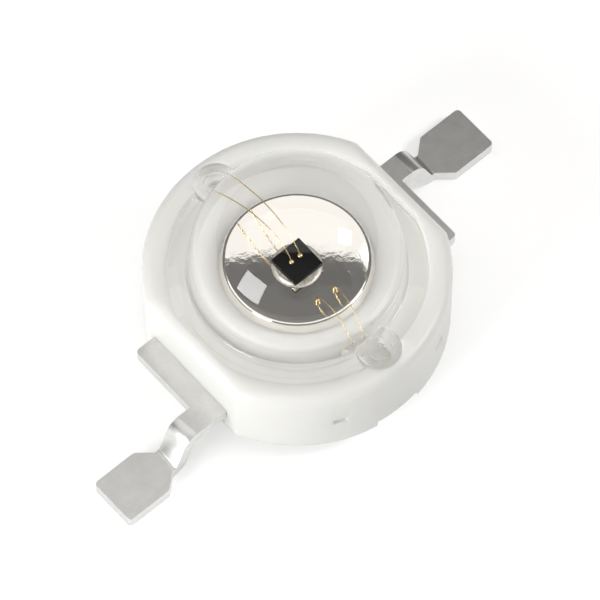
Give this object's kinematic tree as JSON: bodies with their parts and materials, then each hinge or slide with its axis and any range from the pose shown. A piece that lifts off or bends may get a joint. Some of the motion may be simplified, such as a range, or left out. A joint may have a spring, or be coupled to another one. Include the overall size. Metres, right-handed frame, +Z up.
{
  "type": "high-power led emitter",
  "caption": "Bare high-power LED emitter: round white moulded housing, clear dome lens over a silver-plated slug with a square die and gold bond wires, and two formed gull-wing leads.",
  "frame": {"origin": "centre of the slug's underside, the face that is soldered down", "axes": "+X along the two leads, +Y towards one of the two gel fill holes, +Z up through the dome"},
  "size_m": [0.0144, 0.008, 0.0061],
  "materials": {
    "white_moulding": "white moulded plastic, slightly translucent",
    "silver_plate": "bright silver plate",
    "tinned_copper": "satin tin plate",
    "gold_wire": "drawn gold",
    "die": "dark semiconductor",
    "solder": "solder",
    "clear_gel": "clear silicone gel",
    "clear_lens": "clear moulded lens"
  },
  "bodies": {
    "root": {"slug": "silver_plate", "lead_anode": "tinned_copper", "lead_cathode": "tinned_copper", "housing": "white_moulding", "die_attach": "solder", "die": "die", "bond_wire_die_a": "gold_wire", "bond_wire_die_b": "gold_wire", "bond_wire_slug_a": "gold_wire", "bond_wire_slug_b": "gold_wire", "gel": "clear_gel", "lens": "clear_lens"}
  },
  "joints": []
}
